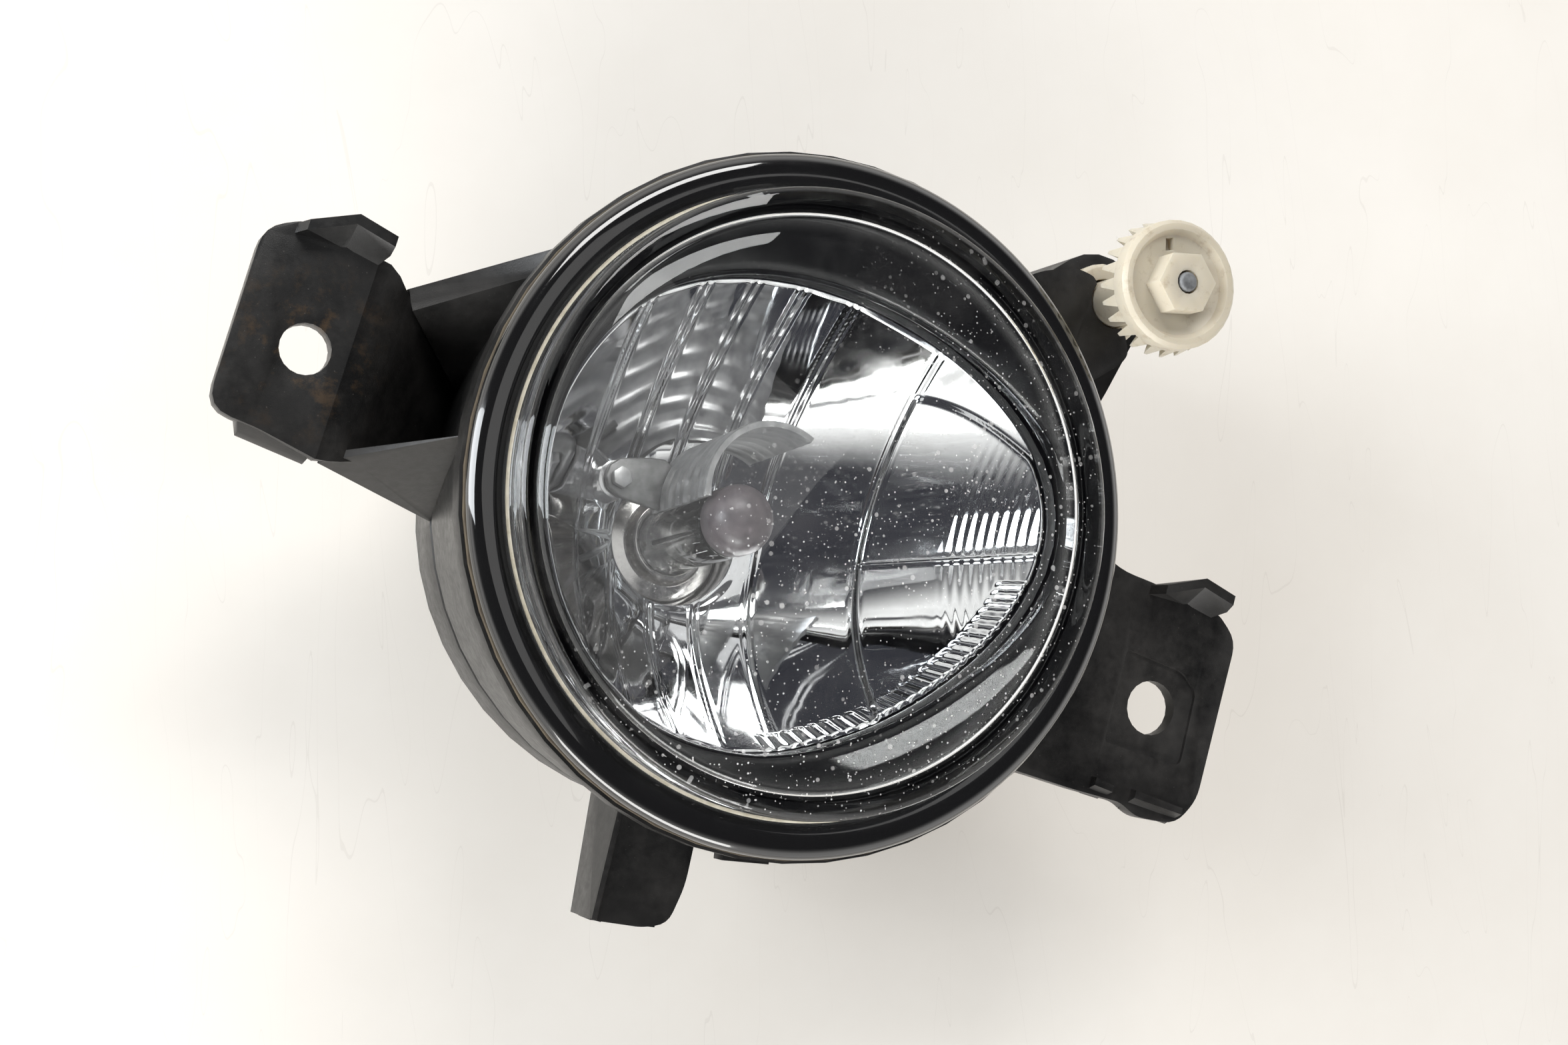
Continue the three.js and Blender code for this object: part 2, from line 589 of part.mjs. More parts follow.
function adjusterWheel() {
  const z = WHEEL_Z;
  const disc = turned([
    [0, z - 24.4], [3.8, z - 24.4], [3.8, z - 23.8], [2.95, z - 23.8], [2.95, z - 22.5],
    [3.8, z - 22.5], [3.8, z - 6.9], [6, z - 6.5], [8.6, z - 5], [9, z - 3.4],
    [9.8, z - 3], [9.8, z - 0.6], [9.2, z], [8.3, z], [7.6, z - 1.2], [5.4, z - 1.8], [0, z - 1.8],
  ], 32);
  const teeth = Array.from({ length: TOOTH_COUNT }, (_, i) => wheelTooth(i));
  const boss = drum(0, 0, 4.9, z - 2, z + 2, 6);
  const notch = block(-0.7, 5.4, z - 3, 0.7, 7.2, z + 1);
  return join([disc, boss, ...teeth])
    .subtract(drum(0, 0, 1.8, z - 25, z + 3, 16))
    .subtract(turnedAboutZ(notch, -0.4));
}

function adjusterSpindle() {
  const z = LENS_Z;
  return turned([
    [0, z - 46.4], [1.5, z - 46.4], [1.5, z - 42.6], [2.2, z - 42], [2.2, z - 20.3],
    [1.5, z - 19.8], [1.5, z + 7.1], [1.2, z + 7.4], [0, z + 7.4],
  ], 16);
}

/** Flanged bush between the tower's top and the saddle. */
function adjusterBush() {
  const z = LENS_Z;
  return turned([
    [4.2, z - 19.7], [6.7, z - 19.7], [6.7, z - 17.2], [6.2, z - 16.7], [4.2, z - 16.7],
  ], 24);
}

function adjusterRing() {
  const ring = new THREE.TorusGeometry(3.6, 0.45, 6, SMALL);
  return solid(ring.translate(0, 0, WHEEL_Z - 23.15));
}

/** Clip under the tower's top that keeps the spindle from lifting out. */
function adjusterClip() {
  const z = LENS_Z;
  return turned([[2.5, z - 23.9], [5.2, z - 23.9], [5.2, z - 22.9], [2.5, z - 22.9]], SMALL);
}

function adjusterNut() {
  const [neck, flange] = [3.2, 5.2];
  const grip = 1.75;
  return turned([
    [2.5, ARM_Z - 4.1], [flange, ARM_Z - 4.1], [flange, ARM_Z - grip], [neck, ARM_Z - grip],
    [neck, ARM_Z + grip], [flange, ARM_Z + grip], [flange, ARM_Z + 4.1], [2.5, ARM_Z + 4.1],
  ], SMALL);
}

// ---- bulb, in its own leaning frame, whose origin is the middle of the bulb hole ----

function bulbGlass() {
  const z = LENS_Z - HOLE_Z;
  return turned([
    [4.2, z - 38], [5.2, z - 38], [5.2, z - 14.3], [4.2, z - 14.3],
  ]);
}

/** Blacked-out nose of the bulb. */
function bulbTip() {
  const z = LENS_Z - HOLE_Z;
  return turned([
    [0, z - 14], [5.2, z - 14], [5.2, z - 11.6], [4.8, z - 9.8], [3.8, z - 8.4], [2.1, z - 7.6],
    [0, z - 7.3],
  ]);
}

function bulbFilament() {
  const [low, high] = [-1, 16];
  return wire([
    [-1.8, 0, low], [-1.8, 0, low + 8], [-2.2, 0.3, high - 3], [-1.4, 0.5, high],
    [1.4, 0.5, high], [2.2, 0.3, high - 3], [1.8, 0, low + 8], [1.8, 0, low],
  ], 0.35, 18, 6);
}

/** Glass holder, sealing flange with three lugs, and rear body of the bulb. */
function bulbBase() {
  const z = LENS_Z - HOLE_Z;
  const body = turned([
    [0, z - 52], [8.4, z - 52], [8.4, z - 44], [12, z - 44], [12, z - 42.2], [9.4, z - 42.2],
    [9.4, z - 39.6], [6.9, z - 39.2], [6.3, z - 36.6], [5.5, z - 36.6], [5.5, z - 38.3], [0, z - 38.3],
  ], 24);
  const lugs = Array.from({ length: LUG_COUNT }, (_, i) => (
    sector(11.5, 13.4, (2 * Math.PI * i) / LUG_COUNT + 0.5, 0.35, z - 44, z - 42.2)
  ));
  return join([body, ...lugs]);
}

function bulbSeal() {
  const ring = new THREE.TorusGeometry(10.8, 0.5, 6, 24);
  return solid(ring.translate(0, 0, -5.6));
}

function bulbPlug() {
  const z = LENS_Z - HOLE_Z;
  return turned([
    [0, z - 58.4], [6.4, z - 58.4], [7.2, z - 57.6], [7.2, z - 53.4], [6.6, z - 52.3], [0, z - 52.3],
  ]);
}

// ---- back ----

function rearCap() {
  const inner = COLLAR_R + FIT;
  const cup = turned([
    [0, 0], [30.4, 0], [32.2, 1.6], [32.2, 12.6], [inner, 12.6], [inner, COLLAR_Z + 5.4],
    [30.9, COLLAR_Z + 5.4], [30.9, COLLAR_Z + 2.4], [inner, COLLAR_Z + 2.4], [inner, 3], [0, 3],
  ], ROUND);
  const slots = Array.from({ length: LUG_COUNT }, (_, i) => (
    sector(COLLAR_R, 30.9, (2 * Math.PI * i) / LUG_COUNT - CAP_TURN, 0.32, COLLAR_Z + 5, 14)
  ));
  const grips = Array.from({ length: 12 }, (_, i) => (
    sector(31.8, 32.9, (2 * Math.PI * i) / 12, 0.09, 2, 11.6)
  ));
  return join([cup, ...grips]).subtract(join(slots));
}

function rearCapSeal() {
  return turned([[26.8, 3.3], [28.8, 3.3], [28.8, COLLAR_Z - 0.3], [26.8, COLLAR_Z - 0.3]], ROUND);
}

/** Rubber breather cap over the housing's vent spigot, open towards the front. */
function ventCap() {
  const z = BACK_Z;
  return turned([
    [0, z - 7.4], [3.4, z - 7.4], [4.2, z - 6.6], [4.2, z - 1], [3.3, z - 1], [3.3, z - 6.2],
    [0, z - 6.2],
  ]);
}

function ventMembrane() {
  return drum(0, 0, 2.8, BACK_Z - 5.8, BACK_Z - 5.3, SMALL);
}

const PIN_SHIFT = 3.4;             // each blade's distance from the inlet's middle

function blade(side, margin, z0, z1) {
  const y = side * PIN_SHIFT;
  return block(PORT_R - 0.4 - margin, y - 1.2 - margin, z0, PORT_R + 0.4 + margin, y + 1.2 + margin, z1);
}

function inletShell() {
  const z = BACK_Z;
  const body = block(PORT_R - 4.2, -9, z - 13.5, PORT_R + 4.2, 9, z + 3.2);
  const flange = block(PORT_R - 4.8, -10.2, z - 1.9, PORT_R + 4.8, 10.2, z - 1.1);
  const mouth = block(PORT_R - 3, -7.8, z - 14.5, PORT_R + 3, 7.8, z - 2.8);
  const slots = join([-1, 1].map((side) => blade(side, FIT, z - 4, z + 4)));
  return body.add(flange).subtract(mouth.add(slots));
}

function inletSeal() {
  const z = BACK_Z;
  const pad = block(PORT_R - 4.8, -10.2, z - 0.9, PORT_R + 4.8, 10.2, z - 0.2);
  const hole = block(PORT_R - 4.2 - FIT, -9.3, z - 2, PORT_R + 4.2 + FIT, 9.3, z + 1);
  return pad.subtract(hole);
}

/** One insulated lead from an inlet blade to the bulb's plug. */
function bulbLead(side) {
  const z = LENS_Z;
  return wire([
    [side * PIN_SHIFT, -PORT_R, z - 43.6],
    [side * PIN_SHIFT, -PORT_R + 2, z - 41],
    [side * 3, -28, z - 43],
    [side * 2, -20, z - 50],
    [side * 2 - 1, -14, z - 57.5],
    [side * 2 - 7, -9, z - 61.6],
    [side * 2 - 11.8, -5.2, z - 62],
  ], 0.9, 18, 6);
}

// ---- assembly ----

/** A group that stands at a distance and angle from the optical axis. */
function station(radius, angle) {
  const group = new THREE.Group();
  group.position.set(radius * Math.cos(angle), radius * Math.sin(angle), 0);
  group.rotation.z = angle;
  lamp.add(group);
  return group;
}

piece('housing', housing(), 'black_plastic');
piece('lens', lens(), 'clear_glass');
piece('lens_seal', lensSeal(), 'sealant');
piece('inner_bezel', innerBezel(), 'gloss_black');

piece('reflector', reflector(), 'reflector_metal');
piece('pivot_pin_left', pivotPin(-1), 'steel');
piece('pivot_pin_right', pivotPin(1), 'steel');

const adjuster = station(ADJUST_R, ADJUST_ANGLE);
piece('adjuster_wheel', adjusterWheel(), 'ivory_plastic', adjuster);
piece('adjuster_spindle', adjusterSpindle(), 'steel', adjuster);
piece('adjuster_bush', adjusterBush(), 'ivory_plastic', adjuster);
piece('adjuster_o_ring', adjusterRing(), 'rubber', adjuster);
piece('adjuster_clip', adjusterClip(), 'steel', adjuster);
piece('adjuster_nut', adjusterNut(), 'ivory_plastic', adjuster);

const bulb = new THREE.Group();
bulb.applyMatrix4(bulbPlace);
lamp.add(bulb);
piece('bulb_shield', bulbShield(), 'shield_metal', bulb);
piece('shield_rivet', shieldRivet(), 'steel', bulb);
piece('bulb_glass', bulbGlass(), 'clear_glass', bulb);
piece('bulb_tip', bulbTip(), 'blackout', bulb);
piece('bulb_filament', bulbFilament(), 'steel', bulb);
piece('bulb_base', bulbBase(), 'base_plastic', bulb);
piece('bulb_seal', bulbSeal(), 'rubber', bulb);
piece('bulb_plug', bulbPlug(), 'base_plastic', bulb);

piece('rear_cap', rearCap(), 'black_plastic');
piece('rear_cap_seal', rearCapSeal(), 'rubber');

const vent = station(PORT_R, VENT_ANGLE);
piece('vent_cap', ventCap(), 'rubber', vent);
piece('vent_membrane', ventMembrane(), 'membrane', vent);

const inlet = new THREE.Group();
inlet.rotation.z = INLET_ANGLE;
lamp.add(inlet);
piece('inlet_shell', inletShell(), 'base_plastic', inlet);
piece('inlet_seal', inletSeal(), 'rubber', inlet);
[-1, 1].forEach((side, i) => {
  piece(`inlet_blade_${i + 1}`, blade(side, 0, BACK_Z - 8.5, BACK_Z + 8), 'contact_metal', inlet);
  piece(`bulb_lead_${i + 1}`, bulbLead(side), 'rubber');
});

export default lamp;
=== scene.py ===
# A round glass fog lamp, standing on its rear cap. Lengths on the lamp are in millimetres, in the
# part's own frame, and MM turns them into metres. The studio's lengths are in metres.

import math

import bmesh
import bpy
import numpy as np
from mathutils import Matrix, Vector


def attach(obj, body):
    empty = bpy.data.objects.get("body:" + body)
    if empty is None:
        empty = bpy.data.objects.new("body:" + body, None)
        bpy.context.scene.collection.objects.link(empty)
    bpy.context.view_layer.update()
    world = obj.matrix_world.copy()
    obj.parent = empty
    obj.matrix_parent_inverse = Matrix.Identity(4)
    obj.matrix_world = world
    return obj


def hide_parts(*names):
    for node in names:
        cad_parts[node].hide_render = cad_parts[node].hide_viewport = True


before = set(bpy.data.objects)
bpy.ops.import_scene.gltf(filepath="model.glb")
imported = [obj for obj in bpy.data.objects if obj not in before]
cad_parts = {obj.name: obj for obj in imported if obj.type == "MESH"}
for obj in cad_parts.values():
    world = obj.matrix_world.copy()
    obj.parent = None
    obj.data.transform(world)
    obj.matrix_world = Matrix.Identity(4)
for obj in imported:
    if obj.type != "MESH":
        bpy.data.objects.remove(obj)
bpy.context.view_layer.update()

MM = 0.001
LENS_Z = 70.0            # front face of the lens flange
LENS_R = 50.0
DOME_R = 44.3
GLASS = 3.0
HOLE_Z = LENS_Z - 36     # middle of the reflector's bulb hole
HOLE_R = 10.3
BOWL_CURVE = 1.6         # power by which the bowl rises from its hole to its rim
BEZEL_R = 45.35          # bezel's round outer edge
BULB = (-9.8, -3.3)
BULB_LEAN = math.radians(6.5)
BULB_TOWARDS = math.radians(40)
RIM = {"x": 2.4, "y": -1.0, "a": 41.6, "b": 34.4, "z": LENS_Z - 12}
RIM_NARROWING = 0.19
RIM_TURN = math.radians(-2)
LEFT_HOLE = (-67.6, 23.9, 54.0)
RIGHT_HOLE = (63.1, -33.0, 54.0)
FLUTE_TURN = math.radians(14)            # turn of the reflector's flutes from the Y axis
FLUTES = (-45, -27, -18.5, -11, -3.4, 5.1, 20.5)   # edges of the fluted strips
WELD_GAP = 0.003                         # corners of a CAD node that are closer are joined
BEVEL_OVER = math.radians(28)            # edges sharper than this are rounded
SMOOTH_UNDER = math.radians(32)          # edges flatter than this are shaded smooth
BULB_PLACE = Matrix.Translation((BULB[0] * MM, BULB[1] * MM, HOLE_Z * MM)) @ Matrix.Rotation(
    BULB_LEAN, 4, Vector((-math.sin(BULB_TOWARDS), math.cos(BULB_TOWARDS), 0))
)


# ---- meshes ----

def mesh_piece(name, corners, faces, materials, faces_use=None):
    """A smooth-shaded object of the given corners (mm) and faces, with its normals facing out."""
    mesh = bpy.data.meshes.new(name)
    mesh.from_pydata([tuple(c * MM for c in corner) for corner in corners], [], faces)
    for made in materials:
        mesh.materials.append(made)
    if faces_use is not None:
        mesh.polygons.foreach_set("material_index", faces_use)
    work = bmesh.new()
    work.from_mesh(mesh)
    bmesh.ops.recalc_face_normals(work, faces=work.faces)
    work.to_mesh(mesh)
    work.free()
    mesh.polygons.foreach_set("use_smooth", [True] * len(mesh.polygons))
    piece = bpy.data.objects.new(name, mesh)
    bpy.context.scene.collection.objects.link(piece)
    return piece


def closed_rows(rows, loop_rows=True):
    """Faces between rows of points, where each row is a closed loop; the last row joins the first."""
    count, width = len(rows), len(rows[0])
    corners = [tuple(point) for row in rows for point in row]
    faces = []
    for i in range(count if loop_rows else count - 1):
        here, there = i * width, ((i + 1) % count) * width
        for j in range(width):
            k = (j + 1) % width
            faces.append((here + j, here + k, there + k, there + j))
    return corners, faces


def turned(profile, facets=128):
    """Corners and faces of a [radius, height] profile turned about Z, open or closed on the axis."""
    on_axis = profile[0][0] == 0
    inner = profile[1:-1] if on_axis else profile
    steps = [2 * math.pi * k / facets for k in range(facets)]
    rows = [[(r * math.cos(a), r * math.sin(a), z) for a in steps] for r, z in inner]
    corners, faces = closed_rows(rows, loop_rows=not on_axis)
    if on_axis:
        for height, row, flip in ((profile[0][1], 0, 1), (profile[-1][1], len(rows) - 1, 0)):
            tip = len(corners)
            corners.append((0, 0, height))
            for j in range(facets):
                a, b = row * facets + j, row * facets + (j + 1) % facets
                faces.append((tip, b, a) if flip else (tip, a, b))
    return corners, faces


def rounded(profile, radius, steps=4):
    """The profile with each marked corner [r, z, 1] rounded to the radius."""
    done = []
    for i, point in enumerate(profile):
        if len(point) == 2:
            done.append(tuple(point))
            continue
        at = np.array(point[:2], float)
        back = np.array(profile[i - 1][:2], float) - at
        ahead = np.array(profile[(i + 1) % len(profile)][:2], float) - at
        reach = min(radius * point[2], 0.45 * np.linalg.norm(back), 0.45 * np.linalg.norm(ahead))
        start = at + back / np.linalg.norm(back) * reach
        end = at + ahead / np.linalg.norm(ahead) * reach
        for k in range(steps + 1):
            t = k / steps
            spot = (1 - t) ** 2 * start + 2 * t * (1 - t) * at + t ** 2 * end
            done.append((float(spot[0]), float(spot[1])))
    return done


def egg(angle, a, b, x, y, narrowing, turn=RIM_TURN):
    """Point of the reflector's egg-shaped outline."""
    along = a * math.cos(angle)
    across = b * math.sin(angle) * (1 - narrowing * math.cos(angle))
    return (
        x + along * math.cos(turn) - across * math.sin(turn),
        y + along * math.sin(turn) + across * math.cos(turn),
    )


def bevelled(piece, width):
    """Rounded edges and smooth shading on a CAD node, whose triangles come unjoined."""
    weld = piece.modifiers.new("weld", "WELD")
    weld.merge_threshold = WELD_GAP * MM
    edge = piece.modifiers.new("edges", "BEVEL")
    edge.width = width * MM
    edge.segments = 2
    edge.limit_method = "ANGLE"
    edge.angle_limit = BEVEL_OVER
    edge.use_clamp_overlap = True
    smooth_by_angle(piece)


def smooth_by_angle(piece):
    """Smooth shading that keeps edges sharper than SMOOTH_UNDER."""
    tree = bpy.data.node_groups.get("smooth_under_angle")
    if tree is None:
        tree = bpy.data.node_groups.new("smooth_under_angle", "GeometryNodeTree")
        tree.interface.new_socket("Mesh", in_out="INPUT", socket_type="NodeSocketGeometry")
        tree.interface.new_socket("Mesh", in_out="OUTPUT", socket_type="NodeSocketGeometry")
        enter, leave = tree.nodes.new("NodeGroupInput"), tree.nodes.new("NodeGroupOutput")
        edge_angle = tree.nodes.new("GeometryNodeInputMeshEdgeAngle")
        under = tree.nodes.new("FunctionNodeCompare")
        under.operation = "LESS_THAN"
        under.inputs["B"].default_value = SMOOTH_UNDER
        edges = tree.nodes.new("GeometryNodeSetShadeSmooth")
        edges.domain = "EDGE"
        faces = tree.nodes.new("GeometryNodeSetShadeSmooth")
        faces.domain = "FACE"
        plain_normals = tree.nodes.new("GeometryNodeRemoveAttribute")
        plain_normals.inputs["Name"].default_value = "custom_normal"
        tree.links.new(enter.outputs[0], plain_normals.inputs["Geometry"])
        tree.links.new(plain_normals.outputs["Geometry"], faces.inputs["Geometry"])
        tree.links.new(faces.outputs[0], edges.inputs["Geometry"])
        tree.links.new(edge_angle.outputs["Unsigned Angle"], under.inputs["A"])
        tree.links.new(under.outputs["Result"], edges.inputs["Shade Smooth"])
        tree.links.new(edges.outputs[0], leave.inputs[0])
    smooth = piece.modifiers.new("smooth", "NODES")
    smooth.node_group = tree


# ---- materials ----

class Recipe:
    """One node material, built up from a Principled shader."""

    def __init__(self, name, **sockets):
        self.material = bpy.data.materials.new(name)
        self.material.use_nodes = True
        self.tree = self.material.node_tree
        self.shader = self.tree.nodes["Principled BSDF"]
        self.output = self.tree.nodes["Material Output"]
        for socket, value in sockets.items():
            self.shader.inputs[socket.replace("_", " ")].default_value = value
        self.place = self.tree.nodes.new("ShaderNodeTexCoord").outputs["Object"]

    def node(self, kind, inputs=(), **settings):
        """A shader node with its inputs linked, where they are sockets, or set."""
        made = self.tree.nodes.new("ShaderNode" + kind)
        for setting, value in settings.items():
            setattr(made, setting, value)
        for socket, value in dict(inputs).items():
            if isinstance(value, bpy.types.NodeSocket):
                self.tree.links.new(value, made.inputs[socket])
            else:
                made.inputs[socket].default_value = value
        return made

    def set(self, socket, source):
        """Feeds a node's output into the Principled shader."""
        self.tree.links.new(source, self.shader.inputs[socket])

    def stretched(self, scale):
        """The object's coordinates in millimetres, scaled along each axis."""
        size = tuple(s / MM for s in scale)
        return self.node("VectorMath", {0: self.place, 1: size}, operation="MULTIPLY").outputs[0]

    def noise(self, per_mm, detail=4.0, rough=0.55, scale=(1, 1, 1), warp=0.0):
        return self.node("TexNoise", {
            "Vector": self.stretched(scale), "Scale": per_mm, "Detail": detail,
            "Roughness": rough, "Distortion": warp,
        }).outputs["Fac"]

    def range(self, source, low, high, to_low=0.0, to_high=1.0):
        return self.node("MapRange", {
            "Value": source, "From Min": low, "From Max": high, "To Min": to_low, "To Max": to_high,
        }).outputs["Result"]

    def math(self, operation, a, b=0.0):
        return self.node("Math", {0: a, 1: b}, operation=operation).outputs[0]

    def specks(self, per_mm, share_without, reach):
        """1 on small round specks of differing sizes, 0 elsewhere."""
        cells = self.node("TexVoronoi", {
            "Vector": self.stretched((1, 1, 1)), "Scale": per_mm, "Randomness": 1.0,
        }, feature="F1")
        pick = self.node("SeparateColor", {0: cells.outputs["Color"]})
        size = self.range(pick.outputs[0], share_without, 1.0, 0.0, reach)
        return self.math("LESS_THAN", cells.outputs["Distance"], size)

    def near(self, spot, inner, outer):
        """1 within the inner distance (mm) of a spot, falling to 0 at the outer one."""
        away = self.node("VectorMath", {
            0: self.place, 1: tuple(c * MM for c in spot),
        }, operation="DISTANCE").outputs["Value"]
        return self.range(away, inner * MM, outer * MM, 1.0, 0.0)

    def mix(self, factor, a, b):
        """A colour between a and b."""
        made = self.node("Mix", data_type="RGBA")
        for index, value in ((0, factor), (6, a), (7, b)):
            if isinstance(value, bpy.types.NodeSocket):
                self.tree.links.new(value, made.inputs[index])
            else:
                made.inputs[index].default_value = value
        return made.outputs[2]

    def bump(self, height, strength, distance):
        self.set("Normal", self.node("Bump", {
            "Height": height, "Strength": strength, "Distance": distance * MM,
        }).outputs["Normal"])

    def lets_light_in(self, surface, tint=(1, 1, 1, 1)):
        """The surface, except that rays from lamps pass through it."""
        path = self.node("LightPath")
        clear = self.node("BsdfTransparent", {"Color": tint})
        both = self.node("MixShader", {
            0: path.outputs["Is Shadow Ray"], 1: surface, 2: clear.outputs[0],
        })
        self.tree.links.new(both.outputs[0], self.output.inputs["Surface"])


def grey(value, warm=0.0):
    """A grey, warmed towards red or, below 0, cooled towards blue."""
    return (value * (1 + warm), value, value * (1 - warm), 1.0)


def housing_plastic():
    """Black moulded plastic with fine grain, grey dust and brown stains round the left hole."""
    r = Recipe("housing_plastic", Specular_IOR_Level=0.4)
    dust = r.math("MULTIPLY", r.range(r.noise(0.06, 8, 0.65), 0.42, 0.7), 0.6)
    streaks = r.range(r.noise(0.35, 6, 0.7, (1, 1, 0.2)), 0.5, 0.8)
    grit = r.math("MULTIPLY", r.specks(1.6, 0.75, 0.18), 1.6)
    dusty = r.math("ADD", r.math("ADD", dust, r.math("MULTIPLY", streaks, 0.3)), grit)
    panel = r.math("MULTIPLY", r.near(RIGHT_HOLE, 7, 17), r.range(r.noise(0.2, 5), 0.3, 0.7))
    worn = r.math("ADD", dusty, r.math("MULTIPLY", panel, 0.6))
    plastic = r.mix(worn, grey(0.005), grey(0.030, 0.07))
    near_left = r.math("MULTIPLY", r.near(LEFT_HOLE, 4, 14), r.range(r.noise(0.22, 7, 0.7), 0.52, 0.66))
    stained = r.mix(r.math("MULTIPLY", near_left, 0.7), plastic, (0.07, 0.042, 0.02, 1))
    r.set("Base Color", stained)
    rough = r.range(r.math("ADD", worn, r.noise(0.8, 3)), 0.3, 1.4, 0.3, 0.55)
    r.set("Roughness", rough)
    r.bump(r.noise(5.0, 3, 0.6), 0.25, 0.06)
    return r.material


def black_glass():
    """The lens flange: glass with a black print under it."""
    r = Recipe("lens_black_edge", Base_Color=grey(0.006), Coat_Weight=1.0, Coat_Roughness=0.02)
    smear = r.range(r.noise(0.12, 5, 0.6), 0.4, 0.8)
    r.set("Roughness", r.range(smear, 0, 1, 0.05, 0.16))
    r.bump(r.noise(0.08, 2), 0.04, 0.3)
    return r.material


def dusty_glass():
    """Clear moulded glass with specks of dust and faint wipe marks."""
    r = Recipe("lens_glass", Base_Color=(0.97, 0.985, 0.985, 1), Transmission_Weight=1.0, IOR=1.45)
    smear = r.range(r.noise(0.09, 6, 0.65, (1, 0.35, 1)), 0.48, 0.75)
    r.set("Roughness", r.range(smear, 0, 1, 0.0, 0.035))
    place = r.node("SeparateXYZ", {0: r.stretched((1, 1, 1))})
    side = r.math("SUBTRACT", place.outputs[0], place.outputs[1])
    patches = r.range(r.noise(0.03, 3, 0.6), 0.3, 0.55)
    settled = r.math("MULTIPLY", r.range(side, -30, 5), patches)
    fine = r.specks(1.35, 0.3, 0.2)
    coarse = r.specks(0.5, 0.2, 0.2)
    specks = r.math("MAXIMUM", r.math("MULTIPLY", fine, 0.6), r.math("MULTIPLY", coarse, 0.3))
    amount = r.math("MULTIPLY", specks, settled)
    haze = r.math("MULTIPLY", r.range(r.noise(0.05, 6, 0.7), 0.5, 0.85), 0.02)
    powder = r.node("BsdfDiffuse", {"Color": grey(0.85, 0.02)})
    surface = r.node("MixShader", {
        0: r.math("ADD", amount, haze), 1: r.shader.outputs[0], 2: powder.outputs[0],
    })
    r.lets_light_in(surface.outputs[0])
    return r.material


def clear_glass(name, tint):
    """Clear tinted glass that lets the lamps' light through."""
    r = Recipe(name, Base_Color=tint, Transmission_Weight=1.0, IOR=1.45)
    r.set("Roughness", r.range(r.noise(0.6, 3), 0.3, 0.8, 0.0, 0.03))
    r.lets_light_in(r.shader.outputs[0], tint)
    return r.material


def mirror():
    """Bright metallised coating with slight waviness and dust."""
    r = Recipe("reflector_mirror", Metallic=1.0)
    haze = r.range(r.noise(0.12, 6, 0.65), 0.45, 0.8)
    r.set("Base Color", r.mix(haze, (0.93, 0.93, 0.94, 1), (0.80, 0.80, 0.80, 1)))
    r.set("Roughness", r.range(haze, 0, 1, 0.035, 0.12))
    r.bump(r.noise(0.1, 2), 0.12, 0.3)
    return r.material


def mirror_back():
    """Duller coating on the back of the reflector."""
    r = Recipe("reflector_back", Metallic=0.9, Base_Color=grey(0.66))
    r.set("Roughness", r.range(r.noise(0.5, 5), 0.3, 0.8, 0.14, 0.3))
    r.bump(r.noise(3.0, 2), 0.1, 0.05)
    return r.material


def gloss_black():
    """Gloss black trim with a little dust."""
    r = Recipe("bezel_gloss_black", Specular_IOR_Level=0.55)
    dust = r.range(r.noise(1.3, 5, 0.75), 0.68, 0.8)
    r.set("Base Color", r.mix(dust, grey(0.004), grey(0.05)))
    r.set("Roughness", r.range(dust, 0, 1, 0.06, 0.35))
    r.bump(r.noise(0.2, 2), 0.05, 0.2)
    return r.material


def plain(name, low, high, rough, per_mm=0.4, metallic=0.0, bump=0.1, **sockets):
    """A material whose colour and roughness drift between two values, with a fine grain."""
    r = Recipe(name, Metallic=metallic, **sockets)
    drift = r.range(r.noise(per_mm, 6, 0.65), 0.35, 0.7)
    r.set("Base Color", r.mix(drift, low, high))
    r.set("Roughness", r.range(drift, 0, 1, rough[0], rough[1]))
    r.bump(r.noise(per_mm * 9, 3, 0.6), bump, 0.05)
    return r.material


def ivory():
    """Natural ivory plastic with patches of grime."""
    r = Recipe("ivory_plastic", Subsurface_Weight=0.25, Subsurface_Scale=0.004)
    r.shader.inputs["Subsurface Radius"].default_value = (1.0, 0.8, 0.5)
    grime = r.range(r.noise(0.45, 7, 0.7), 0.55, 0.8)
    r.set("Base Color", r.mix(grime, (0.56, 0.51, 0.41, 1), (0.36, 0.29, 0.20, 1)))
    r.set("Roughness", r.range(grime, 0, 1, 0.38, 0.6))
    r.bump(r.noise(3.0, 3), 0.12, 0.06)
    return r.material


def floor_paint():
    """Pale painted floor with faint mottling and hairline scratches."""
    r = Recipe("floor_paint")
    mottle = r.range(r.noise(0.012, 5, 0.6), 0.35, 0.7)
    paint = r.mix(mottle, (0.95, 0.915, 0.855, 1), (0.89, 0.85, 0.785, 1))
    lines = r.noise(0.05, 2, 0.5, (1, 0.12, 1), 1.6)
    hairs = r.math("LESS_THAN", r.math("ABSOLUTE", r.math("SUBTRACT", lines, 0.5)), 0.0009)
    r.set("Base Color", r.mix(r.math("MULTIPLY", hairs, 0.12), paint, (0.45, 0.40, 0.35, 1)))
    r.set("Roughness", r.range(mottle, 0, 1, 0.45, 0.6))
    r.bump(r.noise(0.15, 6), 0.15, 0.2)
    return r.material


# ---- new pieces ----

def dome_profile():
    """Outer line of the dome from its middle to the flange, then the flange's front and edge."""
    z = LENS_Z
    cap = [(r, z + 7.5 - 1.9 * (r / 41.8) ** 2.4) for r in np.linspace(0, 40.5, 16)]
    return [(float(r), float(h)) for r, h in cap] + rounded([
        (41.6, z + 5.6), (DOME_R, z + 5.0, 1), (DOME_R, z - 0.7),
    ], 1.9)[1:]


